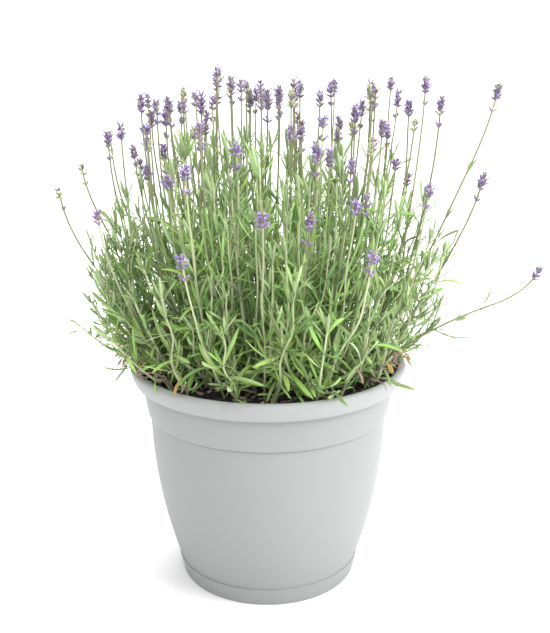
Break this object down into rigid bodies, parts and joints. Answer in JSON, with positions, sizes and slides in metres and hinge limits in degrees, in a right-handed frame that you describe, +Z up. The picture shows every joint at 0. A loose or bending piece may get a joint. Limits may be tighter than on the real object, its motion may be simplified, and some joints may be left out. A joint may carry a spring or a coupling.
{
  "type": "potted lavender",
  "caption": "Bushy lavender in a round bell-shaped plastic pot: fanned leafy shoots and thin stalks that end in violet flower spikes.",
  "frame": {"origin": "centre of the pot's flat underside, on the plane it stands on", "axes": "+Z up along the pot's axis; -Y is the side with the lowest, furthest forward-leaning flower spikes; +X is the side with the long arching stalks"},
  "size_m": [0.4956, 0.3757, 0.551],
  "materials": {
    "pot_plastic": "satin-matt injection-moulded polypropylene, pale grey-green",
    "potting_soil": "moist, chunky, bark-rich compost",
    "flower_stalk": "downy pale green square stem with violet florets and grey-purple calyces",
    "leaf": "downy grey-green to yellow-green narrow leaf, matt",
    "dry_twig": "dry reddish-brown bark"
  },
  "bodies": {
    "root": {"pot": "pot_plastic", "soil": "potting_soil", "flower_stalk_01": "flower_stalk", "flower_stalk_02": "flower_stalk", "flower_stalk_03": "flower_stalk", "flower_stalk_04": "flower_stalk", "flower_stalk_05": "flower_stalk", "flower_stalk_06": "flower_stalk", "flower_stalk_07": "flower_stalk", "flower_stalk_08": "flower_stalk", "flower_stalk_09": "flower_stalk", "flower_stalk_10": "flower_stalk", "flower_stalk_11": "flower_stalk", "flower_stalk_12": "flower_stalk", "flower_stalk_13": "flower_stalk", "flower_stalk_14": "flower_stalk", "flower_stalk_15": "flower_stalk", "flower_stalk_16": "flower_stalk", "flower_stalk_17": "flower_stalk", "flower_stalk_18": "flower_stalk", "flower_stalk_19": "flower_stalk", "flower_stalk_20": "flower_stalk", "flower_stalk_21": "flower_stalk", "flower_stalk_22": "flower_stalk", "flower_stalk_23": "flower_stalk", "flower_stalk_24": "flower_stalk", "flower_stalk_25": "flower_stalk", "flower_stalk_26": "flower_stalk", "flower_stalk_27": "flower_stalk", "flower_stalk_28": "flower_stalk", "flower_stalk_29": "flower_stalk", "flower_stalk_30": "flower_stalk", "flower_stalk_31": "flower_stalk", "flower_stalk_32": "flower_stalk", "flower_stalk_33": "flower_stalk", "flower_stalk_34": "flower_stalk", "leafy_shoot_01": "leaf", "leafy_shoot_02": "leaf", "leafy_shoot_03": "leaf", "leafy_shoot_04": "leaf", "leafy_shoot_05": "leaf", "leafy_shoot_06": "leaf", "leafy_shoot_07": "leaf", "leafy_shoot_08": "leaf", "leafy_shoot_09": "leaf", "leafy_shoot_10": "leaf", "leafy_shoot_11": "leaf", "leafy_shoot_12": "leaf", "leafy_shoot_13": "leaf", "leafy_shoot_14": "leaf", "leafy_shoot_15": "leaf", "leafy_shoot_16": "leaf", "leafy_shoot_17": "leaf", "leafy_shoot_18": "leaf", "leafy_shoot_19": "leaf", "leafy_shoot_20": "leaf", "leafy_shoot_21": "leaf", "leafy_shoot_22": "leaf", "dry_twig_left": "dry_twig", "dry_twig_right": "dry_twig"}
  },
  "joints": []
}
